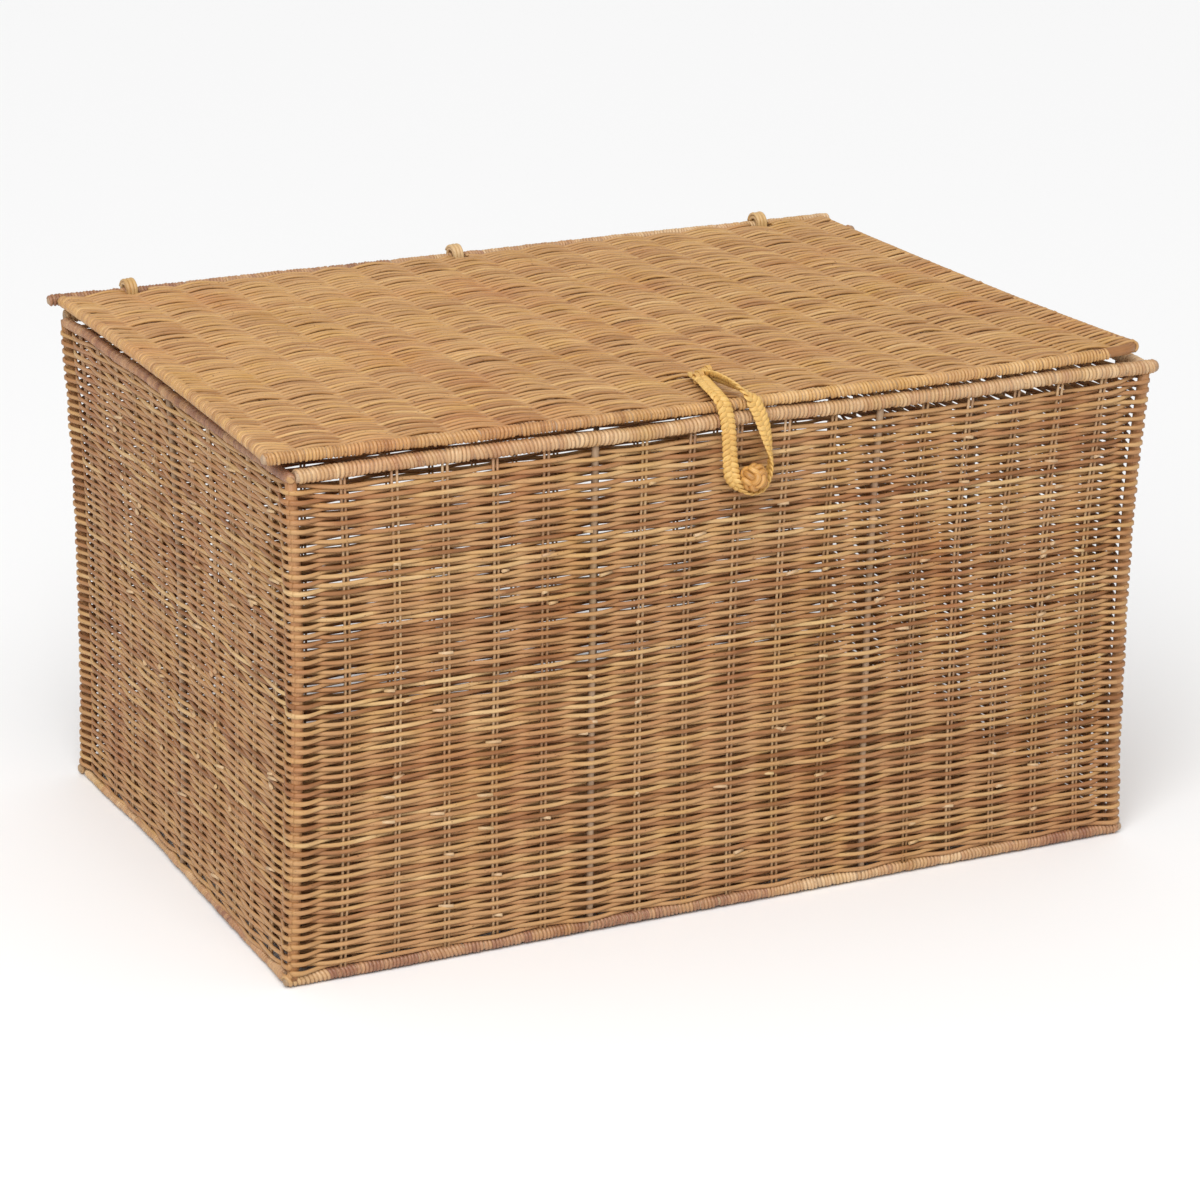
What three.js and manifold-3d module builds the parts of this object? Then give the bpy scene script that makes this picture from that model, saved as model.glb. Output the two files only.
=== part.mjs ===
// A wicker storage trunk: four woven cane walls on a frame of wrapped rods, a woven base, a woven
// lid on three cane hinge loops, and a braided closure loop that hooks over a knotted ball.
// Millimetres. +Z is up and the front faces -Y. The origin is on the floor, under the middle.

import * as THREE from "three";
import { mergeVertices } from "three/addons/utils/BufferGeometryUtils.js";
import Module from "manifold-3d";

const wasm = await Module();
wasm.setup();

// ---- Driving dimensions ----

// Outside sizes of the three rod frames, over their rod ends
const rimLength = 719;
const rimDepth = 478;
const baseLength = 709;
const baseDepth = 466;
const lidLength = 694;
const lidDepth = 477;

// Rods, all wrapped in cane binding, as half of their thickness across flats
const rimRadius = 5.5;
const baseRadius = 4.5;
const lidRadius = 4.5;
const rodSides = 8;
const rodTip = 6;              // how far the front and back rods stand out past the side rods

// Heights of the rods' middle lines
const rimHeight = 379.5;
const lidHeight = 393.5;
const lidShift = -13;          // the lid sits this far along X from the body

// Woven walls: upright below, leaning out to the rim above
const wallThickness = 8;
const splay = 6;               // how far the walls lean out in all
const splayStart = 190;        // height where they begin to lean
const splaySteps = 10;

// Frame inside the weave
const postRadius = 5.5;
const uprightRadius = 3.2;
const uprightInset = 3;        // from the weave's middle towards the inside

// Bars of the base and the lid
const barWidth = 9;
const barThickness = 4;
const basePanelThickness = 4;
const lidPanelThickness = 6;

// Hinge loops round the back rim rod and the back lid rod
const hingeSpacing = 280;
const hingeX = [-hingeSpacing, 0, hingeSpacing].map((x) => x + lidShift);
const hingeWidth = 6;
const hingeThickness = 3;
const hingeInnerRadius = 6.7;
const hingeHeadroom = 2;       // spare height above the lid rod inside the loop

// Closure
const toggleX = 2.5;
const toggleHeight = 340;
const toggleRadius = 11;
const toggleNeck = 4.5;        // bare cord between the wall and the ball
const cordRadius = 1.5;
const knotRadius = 5;
const knotThickness = 5;
const strapThickness = 4;
const strapWidth = 10.5;
const loopHalfWidth = 20;
const loopBottom = 324;
const lashingBack = 49;        // from the lid's front edge back to the lashing
const lashingShift = -6;       // the strap runs a little askew, from the lashing to the ball
const lashingCoils = 4;
const coilRadius = 2.6;
const coilPitch = 5.8;

const gap = 0.5;               // clearance between neighbouring pieces

// ---- Sizes worked out from them ----

const rimX = rimLength / 2 - rodTip - rimRadius;
const rimY = rimDepth / 2 - rimRadius;
const uprightX = rimX / 3;
const baseX = baseLength / 2 - rodTip - baseRadius;
const baseY = baseDepth / 2 - baseRadius;
const lidX = lidLength / 2 - rodTip - lidRadius;
const lidY = lidDepth / 2 - lidRadius;
const rimCorner = rimRadius / Math.cos(Math.PI / rodSides);
const lidCorner = lidRadius / Math.cos(Math.PI / rodSides);
const baseCorner = baseRadius / Math.cos(Math.PI / rodSides);
const postCorner = postRadius / Math.cos(Math.PI / rodSides);
const wallBottom = 2 * baseRadius + gap;
const wallTop = rimHeight - rimRadius - gap;
const wallHeight = wallTop - wallBottom;
const wallMiddle = (wallTop + wallBottom) / 2;
const lidTop = lidHeight + lidRadius;
const ballY = -(rimY + leanAt(toggleHeight) + wallThickness / 2 + toggleNeck + toggleRadius);

// ---- Materials ----

function cane(color, roughness) {
  return new THREE.MeshStandardMaterial({ color, roughness, metalness: 0 });
}

const woven = cane(0xb98a5c, 0.6);
const wovenLid = cane(0xcda174, 0.6);
const binding = cane(0xc39b70, 0.55);
const frameRod = cane(0xa68a67, 0.65);
const hingeCane = cane(0xd3bd92, 0.6);
const braid = cane(0xdfb766, 0.55);
const knot = cane(0xc58d40, 0.55);

// ---- Helpers ----

// How far the walls stand out at this height, counted from the rim: 0 there and -splay below
function leanAt(z) {
  const t = Math.max(0, (z - splayStart) / (rimHeight - splayStart));
  return splay * (t * t - 1);
}

// Leans a piece of the body outwards with the walls
function lean(geometry) {
  const at = geometry.attributes.position;
  for (let i = 0; i < at.count; i++) {
    const out = leanAt(at.getZ(i));
    at.setX(i, at.getX(i) * (1 + out / rimX));
    at.setY(i, at.getY(i) * (1 + out / rimY));
  }
  return geometry;
}

function toSolid(geometry) {
  const bare = geometry.clone();
  bare.deleteAttribute("normal");
  bare.deleteAttribute("uv");
  const merged = mergeVertices(bare, 1e-4);
  const vertProperties = new Float32Array(merged.attributes.position.array);
  const triVerts = new Uint32Array(merged.index.array);
  return new wasm.Manifold(new wasm.Mesh({ numProp: 3, vertProperties, triVerts }));
}

function toGeometry(solid) {
  const mesh = solid.getMesh();
  const geometry = new THREE.BufferGeometry();
  geometry.setAttribute("position", new THREE.BufferAttribute(mesh.vertProperties, 3));
  geometry.setIndex(new THREE.BufferAttribute(mesh.triVerts, 1));
  geometry.computeVertexNormals();
  return geometry;
}

// The first geometry with every other one cut out of it
function cut(geometry, tools) {
  let solid = toSolid(geometry);
  for (const tool of tools) {
    solid = solid.subtract(toSolid(tool));
  }
  return toGeometry(solid);
}

// A many-sided rod with a flat facing down; radius is to its flats
function rod(length, radius, sides = rodSides, steps = 1) {
  const corner = radius / Math.cos(Math.PI / sides);
  return new THREE.CylinderGeometry(corner, corner, length, sides, steps, false, Math.PI / sides);
}

function rodX(length, radius) {
  return rod(length, radius).rotateZ(Math.PI / 2);
}

function rodY(length, radius) {
  return rod(length, radius);
}

function rodZ(length, radius, steps) {
  return rod(length, radius, rodSides, steps).rotateX(Math.PI / 2);
}

function add(parent, name, geometry, material, x = 0, y = 0, z = 0) {
  const mesh = new THREE.Mesh(geometry, material.clone());
  mesh.name = name;
  mesh.position.set(x, y, z);
  parent.add(mesh);
  return mesh;
}

// ---- Rod frames ----

// Front and back rods run the whole length, and the side rods stand between them
function addRodFrame(parent, name, length, radius, corner, sideX, endY, height) {
  const sideLength = 2 * (endY - corner - gap);
  add(parent, `${name}_front`, rodX(length, radius), binding, 0, -endY, height);
  add(parent, `${name}_back`, rodX(length, radius), binding, 0, endY, height);
  add(parent, `${name}_left`, rodY(sideLength, radius), binding, -sideX, 0, height);
  add(parent, `${name}_right`, rodY(sideLength, radius), binding, sideX, 0, height);
}

// ---- Base ----

function addBase(parent) {
  addRodFrame(parent, "base_rod", baseLength, baseRadius, baseCorner, baseX, baseY, baseRadius);
  const longBar = new THREE.BoxGeometry(2 * (baseX - baseCorner - gap), barWidth, barThickness);
  add(parent, "base_bar_long", longBar, frameRod, 0, 0, barThickness / 2);
  const crossZ = barThickness * 1.5 + gap;
  const crossLength = 2 * (baseY - baseCorner - gap);
  for (const [name, x] of [["base_bar_left", -uprightX], ["base_bar_right", uprightX]]) {
    add(parent, name, new THREE.BoxGeometry(barWidth, crossLength, barThickness), frameRod, x, 0, crossZ);
  }
  addFloor(parent);
}

// The woven floor reaches the walls and is cut out round the posts and uprights
function addFloor(parent) {
  const floorX = rimX - splay - wallThickness / 2 - gap;
  const floorY = rimY - splay - wallThickness / 2 - gap;
  const middle = 2 * barThickness + 2 * gap + basePanelThickness / 2;
  const sheet = new THREE.BoxGeometry(2 * floorX, 2 * floorY, basePanelThickness).translate(0, 0, middle);
  add(parent, "base_weave", cut(sheet, [...uprightGrooves(), ...postHoles()]), woven);
}

// ---- Walls and the frame inside them ----

const uprights = [
  { name: "upright_front_left", x: -uprightX, y: -(rimY - uprightInset) },
  { name: "upright_front_right", x: uprightX, y: -(rimY - uprightInset) },
  { name: "upright_back_left", x: -uprightX, y: rimY - uprightInset },
  { name: "upright_back_right", x: uprightX, y: rimY - uprightInset },
  { name: "upright_left", x: -(rimX - uprightInset), y: 0 },
  { name: "upright_right", x: rimX - uprightInset, y: 0 },
];

function addUprights(parent) {
  for (const { name, x, y } of uprights) {
    const shape = rodZ(wallHeight, uprightRadius, splaySteps).translate(x, y, wallMiddle);
    add(parent, name, lean(shape), frameRod);
  }
}

const posts = [
  { name: "corner_post_front_left", x: -rimX, y: -rimY },
  { name: "corner_post_front_right", x: rimX, y: -rimY },
  { name: "corner_post_back_left", x: -rimX, y: rimY },
  { name: "corner_post_back_right", x: rimX, y: rimY },
];

function addCornerPosts(parent) {
  for (const { name, x, y } of posts) {
    const shape = rodZ(wallHeight, postRadius, splaySteps).translate(x, y, wallMiddle);
    add(parent, name, lean(shape), frameRod);
  }
}

// Room for the posts in the corners of the floor
function postHoles() {
  return posts.map(({ x, y }) =>
    lean(rodZ(wallHeight, postRadius + gap, splaySteps).translate(x, y, wallMiddle)));
}

// Room for the uprights in the inner face of the weave and in the floor's edges
function uprightGrooves() {
  const height = wallHeight + 4 * gap;
  return uprights.map(({ x, y }) =>
    lean(rodZ(height, uprightRadius + gap, splaySteps).translate(x, y, wallMiddle)));
}

// Room at the top of the back wall for the hinge loops to pass under the rim rod
function hingeSlots() {
  const depth = hingeInnerRadius + hingeThickness - rimRadius + gap;
  const width = hingeWidth + 4 * gap;
  return hingeX.map((x) =>
    new THREE.BoxGeometry(width, 4 * wallThickness, 2 * depth).translate(x, rimY, wallTop));
}

// The hole for the toggle's cord through the front wall
function cordHole() {
  return rodY(4 * wallThickness, cordRadius + gap).translate(toggleX, -rimY, toggleHeight);
}

function addWalls(parent) {
  const alongX = 2 * (rimX - postCorner - gap);
  const alongY = 2 * (rimY - postCorner - gap);
  const grooves = uprightGrooves();
  const panel = (sizeX, sizeY, x, y) =>
    lean(new THREE.BoxGeometry(sizeX, sizeY, wallHeight, 1, 1, splaySteps).translate(x, y, wallMiddle));
  const front = cut(panel(alongX, wallThickness, 0, -rimY), [...grooves, cordHole()]);
  const back = cut(panel(alongX, wallThickness, 0, rimY), [...grooves, ...hingeSlots()]);
  add(parent, "wall_front", front, woven);
  add(parent, "wall_back", back, woven);
  add(parent, "wall_left", cut(panel(wallThickness, alongY, -rimX, 0), grooves), woven);
  add(parent, "wall_right", cut(panel(wallThickness, alongY, rimX, 0), grooves), woven);
}

// ---- Hinge loops ----

// An upright oval ring in the YZ plane, round the back rim rod and the back lid rod
function ovalPath(Path, radius, low, high) {
  const path = new Path();
  path.absarc(0, low, radius, Math.PI, 2 * Math.PI, false);
  path.absarc(0, high, radius, 0, Math.PI, false);
  path.closePath();
  return path;
}

function addHingeLoops(parent) {
  const low = rimHeight;
  const high = lidHeight + hingeHeadroom;
  const ring = ovalPath(THREE.Shape, hingeInnerRadius + hingeThickness, low, high);
  ring.holes.push(ovalPath(THREE.Path, hingeInnerRadius, low, high));
  const names = ["hinge_loop_left", "hinge_loop_middle", "hinge_loop_right"];
  names.forEach((name, i) => {
    const shape = new THREE.ExtrudeGeometry(ring, { depth: hingeWidth, bevelEnabled: false, curveSegments: 8 });
    shape.rotateX(Math.PI / 2).rotateZ(Math.PI / 2);
    shape.translate(hingeX[i] - hingeWidth / 2, rimY, 0);
    add(parent, name, shape, hingeCane);
  });
}

// ---- Toggle ----

// The knotted ball, with a blind hole at its back for the cord
function addToggleBall(parent) {
  const hole = cordRadius + gap;
  const mouth = Math.sqrt(toggleRadius ** 2 - hole ** 2);
  const profile = [];
  const steps = 14;
  const lastAngle = Math.acos(hole / toggleRadius);
  for (let i = 0; i <= steps; i++) {
    const angle = -Math.PI / 2 + (i / steps) * (lastAngle + Math.PI / 2);
    profile.push(new THREE.Vector2(toggleRadius * Math.cos(angle), toggleRadius * Math.sin(angle)));
  }
  profile[0].x = 0;
  profile.push(new THREE.Vector2(hole, mouth - toggleRadius / 2));
  profile.push(new THREE.Vector2(0, mouth - toggleRadius / 2));
  add(parent, "toggle_ball", new THREE.LatheGeometry(profile, 20), knot, toggleX, ballY, toggleHeight);
}

// The cord through the wall, with its stopper knot inside the trunk
function addToggleCord(parent) {
  const inside = -(rimY + leanAt(toggleHeight) - wallThickness / 2 - gap);
  const end = ballY + toggleRadius / 2 + 2 * gap;
  const profile = [
    new THREE.Vector2(0, end),
    new THREE.Vector2(cordRadius, end),
    new THREE.Vector2(cordRadius, inside),
    new THREE.Vector2(knotRadius, inside),
    new THREE.Vector2(knotRadius, inside + knotThickness * 0.7),
    new THREE.Vector2(knotRadius * 0.6, inside + knotThickness),
    new THREE.Vector2(0, inside + knotThickness),
  ];
  add(parent, "toggle_cord", new THREE.LatheGeometry(profile, 12), knot, toggleX, 0, toggleHeight);
}

// ---- Lid ----

// Room in the lid weave for the hinge loops, all through the lid's swing
function lidSlots() {
  const reach = hingeHeadroom + hingeInnerRadius + hingeThickness + 2 * gap;
  const width = hingeWidth + 4 * gap;
  return hingeX.map((x) =>
    new THREE.BoxGeometry(width, 2 * reach, 4 * lidPanelThickness).translate(x - lidShift, lidY, 0));
}

function addLid(parent) {
  addRodFrame(parent, "lid_rod", lidLength, lidRadius, lidCorner, lidX, lidY, lidHeight);
  const panelX = 2 * (lidX - lidCorner - gap);
  const panelY = 2 * (lidY - lidCorner - gap);
  const panel = cut(new THREE.BoxGeometry(panelX, panelY, lidPanelThickness), lidSlots());
  add(parent, "lid_weave", panel, wovenLid, 0, 0, lidHeight + gap);
  const barZ = lidHeight + gap - lidPanelThickness / 2 - gap - barThickness / 2;
  for (const [name, x] of [["lid_bar_left", -uprightX], ["lid_bar_right", uprightX]]) {
    add(parent, name, new THREE.BoxGeometry(barWidth, panelY, barThickness), frameRod, x, 0, barZ);
  }
}

// ---- Closure strap and loop ----

const strapTop = lidTop + gap + strapThickness;
const strapFront = -(lidDepth / 2 + gap);
const loopTop = lidHeight - 2;

// Side outline of one strap leg: flat on the lid, then bent down over the front rod
function strapOutline() {
  const bend = lidRadius + gap + strapThickness;
  const outline = new THREE.Shape();
  outline.moveTo(-lidY + lashingBack - lidRadius, strapTop);
  outline.lineTo(-lidY, strapTop);
  outline.absarc(-lidY, strapTop - bend, bend, Math.PI / 2, Math.PI, false);
  outline.lineTo(-lidY - bend, loopTop + gap);
  outline.lineTo(-lidY - bend + strapThickness, loopTop + gap);
  outline.lineTo(-lidY - bend + strapThickness, strapTop - bend);
  outline.absarc(-lidY, strapTop - bend, bend - strapThickness, Math.PI, Math.PI / 2, true);
  outline.lineTo(-lidY + lashingBack - lidRadius, strapTop - strapThickness);
  outline.closePath();
  return outline;
}

// Each leg starts at the lashing and fans out to its side of the loop
function addStrapLegs(parent) {
  const legX = loopHalfWidth - strapWidth / 2;
  const narrow = strapWidth / 2 + gap;
  const backY = -lidY + lashingBack;
  for (const [name, side] of [["strap_leg_left", -1], ["strap_leg_right", 1]]) {
    const settings = { depth: strapWidth, bevelEnabled: false, curveSegments: 6 };
    const leg = new THREE.ExtrudeGeometry(strapOutline(), settings);
    leg.rotateX(Math.PI / 2).rotateZ(Math.PI / 2).translate(-strapWidth / 2, 0, 0);
    const at = leg.attributes.position;
    for (let i = 0; i < at.count; i++) {
      const t = THREE.MathUtils.clamp((at.getY(i) + lidY) / (backY + lidY), 0, 1);
      at.setX(i, at.getX(i) + side * THREE.MathUtils.lerp(legX, narrow, t) + lashingShift * t);
    }
    add(parent, name, leg, braid, toggleX, 0, 0);
  }
}

// Small cane coils that lash the strap to the lid weave, side by side behind its end
function addLashing(parent) {
  const y = -lidY + lashingBack - lidRadius + coilRadius * 1.5 + gap;
  for (let i = 0; i < lashingCoils; i++) {
    const x = toggleX + lashingShift + (i - (lashingCoils - 1) / 2) * coilPitch;
    const length = coilRadius * 3;
    add(parent, `lashing_coil_${i + 1}`, rodY(length, coilRadius), knot, x, y, lidTop + gap + coilRadius);
  }
}

// The hanging loop: two legs joined by a round bottom that passes under the ball
function addClosureLoop(parent) {
  const inner = loopHalfWidth - strapWidth;
  const outerStart = loopBottom + loopHalfWidth * 1.2;
  const shape = new THREE.Shape();
  shape.moveTo(-loopHalfWidth, loopTop);
  shape.lineTo(-loopHalfWidth, outerStart);
  shape.absellipse(0, outerStart, loopHalfWidth, loopHalfWidth * 1.2, Math.PI, 2 * Math.PI, false);
  shape.lineTo(loopHalfWidth, loopTop);
  shape.lineTo(inner, loopTop);
  shape.lineTo(inner, toggleHeight);
  shape.absarc(0, toggleHeight, inner, 0, -Math.PI, true);
  shape.lineTo(-inner, loopTop);
  shape.closePath();
  const settings = { depth: strapThickness, bevelEnabled: false, curveSegments: 10 };
  const loop = new THREE.ExtrudeGeometry(shape, settings);
  loop.rotateX(Math.PI / 2);
  add(parent, "closure_loop", loop, braid, toggleX, strapFront, 0);
}

// ---- Assembly ----

const body = new THREE.Group();
addBase(body);
addCornerPosts(body);
addUprights(body);
addWalls(body);
addRodFrame(body, "rim_rod", rimLength, rimRadius, rimCorner, rimX, rimY, rimHeight);
addHingeLoops(body);
addToggleBall(body);
addToggleCord(body);

const lid = new THREE.Group();
lid.position.x = lidShift;
addLid(lid);

// The closure stays in the middle of the body, where its ball is
const closure = new THREE.Group();
addStrapLegs(closure);
addLashing(closure);
addClosureLoop(closure);

const trunk = new THREE.Group();
trunk.add(body, lid, closure);

export default trunk;
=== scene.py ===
"""A wicker storage trunk in woven cane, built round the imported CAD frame.

The making is in millimetres, in the CAD's own axes, and each mesh is turned to metres when it is made.
Every cane is a real tube: rows woven round stakes, strips bound round rods, a plaited strap, a knotted ball.
"""

import math

import bpy
import numpy as np
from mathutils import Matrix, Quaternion, Vector


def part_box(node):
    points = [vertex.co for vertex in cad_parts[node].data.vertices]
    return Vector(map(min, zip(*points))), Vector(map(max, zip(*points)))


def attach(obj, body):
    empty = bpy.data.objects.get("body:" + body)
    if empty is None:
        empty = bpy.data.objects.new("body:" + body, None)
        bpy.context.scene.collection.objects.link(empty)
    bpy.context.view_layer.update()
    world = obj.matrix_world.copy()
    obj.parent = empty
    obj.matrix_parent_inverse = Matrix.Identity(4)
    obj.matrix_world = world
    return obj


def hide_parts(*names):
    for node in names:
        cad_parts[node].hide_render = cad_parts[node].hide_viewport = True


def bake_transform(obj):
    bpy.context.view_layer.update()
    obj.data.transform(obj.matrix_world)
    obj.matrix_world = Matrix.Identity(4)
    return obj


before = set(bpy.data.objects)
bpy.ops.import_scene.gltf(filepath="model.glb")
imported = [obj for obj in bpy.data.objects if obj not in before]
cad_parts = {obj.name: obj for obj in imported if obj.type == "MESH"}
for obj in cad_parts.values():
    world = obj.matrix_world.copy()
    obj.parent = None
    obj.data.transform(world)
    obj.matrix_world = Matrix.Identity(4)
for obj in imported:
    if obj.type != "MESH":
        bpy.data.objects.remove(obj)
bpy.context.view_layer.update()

draw = np.random.default_rng(20)

# ---- Driving sizes, in millimetres ----

STAKES_LONG = 18  # intervals between stakes along the front and the back
STAKES_SHORT = 12  # and along each side
CORNERS = (0, 18, 30, 48)  # where the corner posts stand, counted in stakes round the wall
UPRIGHTS = (6, 12, 24, 36, 42, 54)
STAKES = 2 * (STAKES_LONG + STAKES_SHORT)
ROWS = 112
CANE_HIGH = 3.4  # a weaver's size up the wall
CANE_THICK = 2.5  # and through it
SQUEEZE = 0.45  # how far the weavers bed into the stakes
SLACK = 0.07  # the canes' share of thinning in the middle of the loosely woven band
SLACK_LOW = 140.0
SLACK_HIGH = 350.0
STAKE_RADIUS = 1.1
STAKE_SPREAD = 1.7  # each stake is two rods, this far either side of its middle
STAKE_PITCH = 38.9  # from one stake to the next
GRAIN_PITCH = 39.0  # how far a row's grain has run on from one stake to the next
CORNER_RADIUS = 9.0
POST_RADIUS = 4.3
POST_OUT = 1.5  # the corner posts stand this far out from the middle of the wall, nearly flush with it
POST_BITE = 1.2  # how far the weavers bed into the corner posts
UPRIGHT_RADIUS = 2.6
UPRIGHT_BITE = 1.0
RIGHT_BULGE = 0.85  # how strongly the rows bulge at the sides, against the front and the back
LEFT_BULGE = 0.72
SIDE_SIZE = 1.06  # how much thicker the canes show along the sides
WAVE_HEIGHT = 0.42  # of each slow wave in the rows
TOP_GAP = 5.0  # between the top row and the rim rod
WALL_SPLAY = 6.0
SPLAY_START = 190.0
BASE_FLARE = 2.5  # the walls widen a little to the base
FLARE_TOP = 120.0
CORNER_RISE = 4.5  # how far the top rows rise to meet the rim at the corners and along the left side
LEFT_SETTLE = 4.0  # how far the lowest rows sink over the base rod along the left side
FOOT_PUSH = 7.0  # how far the foot of the front left corner stands out to the left
FOOT_TOP = 240.0
EDGE_GAP = 1.5  # from the wall's ends to the middle of the first and last rows

# ---- Where the CAD puts things ----


def box(node):
    """Lowest and highest corner of a CAD node, in millimetres."""
    low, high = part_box(node)
    return np.array(low) * 1000, np.array(high) * 1000


def middle(node):
    """The middle of a CAD node's box."""
    low, high = box(node)
    return (low + high) / 2


RIM_HEIGHT = middle("rim_rod_front")[2]
RIM_X = middle("rim_rod_right")[0]
RIM_Y = middle("rim_rod_back")[1]
WALL_LOW, WALL_HIGH = (corner[2] for corner in box("wall_front"))
LID_LEFT = middle("lid_rod_left")
LID_RIGHT = middle("lid_rod_right")
LID_FRONT = middle("lid_rod_front")
LID_BACK = middle("lid_rod_back")
BALL = middle("toggle_ball")
BALL_RADIUS = (box("toggle_ball")[1] - box("toggle_ball")[0])[2] / 2

# ---- Strands ----

LANE_MARGIN = 0.06  # share of a UV lane left empty at each edge


def circle(radius, sides):
    """A round section, as points round it."""
    angle = np.arange(sides) * 2 * math.pi / sides
    return radius * np.stack([np.cos(angle), np.sin(angle)], 1)


def ellipse(width, thickness, sides):
    """An oval section, width along its first axis."""
    return circle(0.5, sides) * (width, thickness)


def strip(width, thickness):
    """A flat-backed strip with a rounded face."""
    shape = [(0.5, -0.5), (0.47, 0.0), (0.27, 0.42), (0.0, 0.55), (-0.27, 0.42), (-0.47, 0.0), (-0.5, -0.5)]
    return np.array(shape) * (width, thickness)


def unit(vectors):
    """The vectors at length one."""
    return vectors / np.linalg.norm(vectors, axis=-1, keepdims=True)


class Canes:
    """Gathers canes as tubes along paths, and makes one mesh of them."""

    def __init__(self, *materials):
        self.materials = materials
        self.canes = []

    def add(self, path, section, up, tone=0.5, size=1.0, material=0, start=None, trim=0):
        """A tube along path. The section's second axis points along up, as nearly as it can.
        The first and last trim points only steer the ends."""
        path = np.asarray(path, float)
        along = unit(np.gradient(path, axis=0))
        side = unit(np.cross(along, up))
        top = np.cross(side, along)
        size = np.broadcast_to(size, len(path))[:, None, None]
        rings = path[:, None] + size * (
            section[None, :, :1] * side[:, None] + section[None, :, 1:] * top[:, None]
        )
        steps = np.linalg.norm(np.diff(path, axis=0), axis=1)
        length = np.concatenate([[0], np.cumsum(steps)])
        if start is None:
            start = draw.uniform(0, 9000)
        grain = np.empty(rings.shape)
        grain[..., :2] = section[None] * size
        grain[..., 2] = (length + start)[:, None]
        tone = np.repeat(np.broadcast_to(tone, len(path))[:, None], len(section), axis=1)
        kept = slice(trim, len(path) - trim)
        length = length[kept] - length[trim]
        self.canes.append((
            rings[kept], length, grain[kept].reshape(-1, 3), tone[kept].ravel(), material
        ))

    def lanes(self):
        """How many lanes the canes fill when laid end to end in a square UV sheet, and a lane's length."""
        total = sum(length[-1] for _, length, *_ in self.canes)
        girth = np.mean([
            np.linalg.norm(np.roll(rings[0], 1, 0) - rings[0], axis=1).sum()
            for rings, *_ in self.canes
        ])
        count = max(1, round(math.sqrt(total / girth)))
        return count, total / count

    def faces(self):
        """The side faces and the end caps of every cane, with their UV places and the sides' materials."""
        lanes, lane = self.lanes()
        quads, quad_uvs, caps, cap_uvs, owners = [], [], [], [], []
        base, done = 0, 0.0
        for rings, length, _, _, material in self.canes:
            count, sides = rings.shape[:2]
            index = base + np.arange(count * sides).reshape(count, sides)
            a, b = index[:-1], index[1:]
            quads.append(np.stack([a, b, np.roll(b, -1, 1), np.roll(a, -1, 1)], -1).reshape(-1, 4))
            place = (done + length[:-1]) / lane
            row = np.minimum(np.floor(place), lanes - 1)
            u0 = np.clip(place - row, 0, 1)[:, None]
            u1 = np.clip(place - row + np.diff(length) / lane, 0, 1)[:, None]
            turn = np.arange(sides + 1) / sides * (1 - 2 * LANE_MARGIN) + LANE_MARGIN
            v0 = (row[:, None] + turn[None, :-1]) / lanes
            v1 = (row[:, None] + turn[None, 1:]) / lanes
            u0, u1 = u0 + 0 * v0, u1 + 0 * v0
            uv = np.stack([u0, v0, u1, v0, u1, v1, u0, v1], -1)
            quad_uvs.append(uv.reshape(-1, 2))
            caps += [index[0], index[-1][::-1]]
            for end_u, end_row in ((u0[0, 0], row[0]), (u1[-1, 0], row[-1])):
                end_v = np.full(sides, (end_row + 0.5) / lanes)
                cap_uvs.append(np.stack([np.full(sides, end_u), end_v], 1))
            owners.append((len(quads[-1]), material))
            base += count * sides
            done += length[-1]
        return np.concatenate(quads), caps, np.concatenate([*quad_uvs, *cap_uvs]), owners

    def make(self, name, body, slot, *nodes):
        """The mesh, riding on a body in place of these CAD nodes."""
        quads, caps, uvs, owners = self.faces()
        cap_sizes = [len(cap) for cap in caps]
        mesh = bpy.data.meshes.new(name)
        points = np.concatenate([rings.reshape(-1, 3) for rings, *_ in self.canes]) * 0.001
        corners = np.concatenate([quads.ravel(), *caps])
        starts = np.concatenate([
            np.arange(len(quads)) * 4,
            quads.size + np.cumsum([0, *cap_sizes[:-1]]),
        ])
        mesh.vertices.add(len(points))
        mesh.vertices.foreach_set("co", points.astype(np.float32).ravel())
        mesh.loops.add(len(corners))
        mesh.loops.foreach_set("vertex_index", corners.astype(np.int32))
        mesh.polygons.add(len(starts))
        mesh.polygons.foreach_set("loop_start", starts.astype(np.int32))
        owner = np.concatenate([
            *[np.full(count, material) for count, material in owners],
            np.repeat([material for _, material in owners], 2),
        ])
        mesh.polygons.foreach_set("material_index", owner.astype(np.int32))
        smooth = np.arange(len(starts)) < len(quads)
        mesh.polygons.foreach_set("use_smooth", smooth)
        mesh.update(calc_edges=True)
        grain = np.concatenate([grain for _, _, grain, _, _ in self.canes])
        tone = np.concatenate([tone for _, _, _, tone, _ in self.canes])
        grain_layer = mesh.attributes.new("grain", "FLOAT_VECTOR", "POINT")
        grain_layer.data.foreach_set("vector", grain.astype(np.float32).ravel())
        tone_layer = mesh.attributes.new("tone", "FLOAT", "POINT")
        tone_layer.data.foreach_set("value", tone.astype(np.float32))
        flat = mesh.uv_layers.new(name="OFBake")
        flat.data.foreach_set("uv", uvs.astype(np.float32).ravel())
        for material in self.materials:
            mesh.materials.append(material)
        piece = bpy.data.objects.new(name, mesh)
        bpy.context.scene.collection.objects.link(piece)
        if body:
            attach(piece, body)
        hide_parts(*nodes)
        return piece


def wander(places, mean, spread):
    """Random values at whole numbers from 0 to the last place, joined by straight lines."""
    knots = np.arange(round(places[-1]) + 1)
    return np.interp(places, knots, draw.normal(mean, spread, len(knots)))


def rounded(places, knots, values):
    """Values between knots, joined by smooth steps."""
    span = np.clip(np.searchsorted(knots, places, side="right") - 1, 0, len(knots) - 2)
    t = np.clip((places - knots[span]) / (knots[span + 1] - knots[span]), 0, 1)
    t = t * t * (3 - 2 * t)
    return values[span] * (1 - t) + values[span + 1] * t


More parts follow.
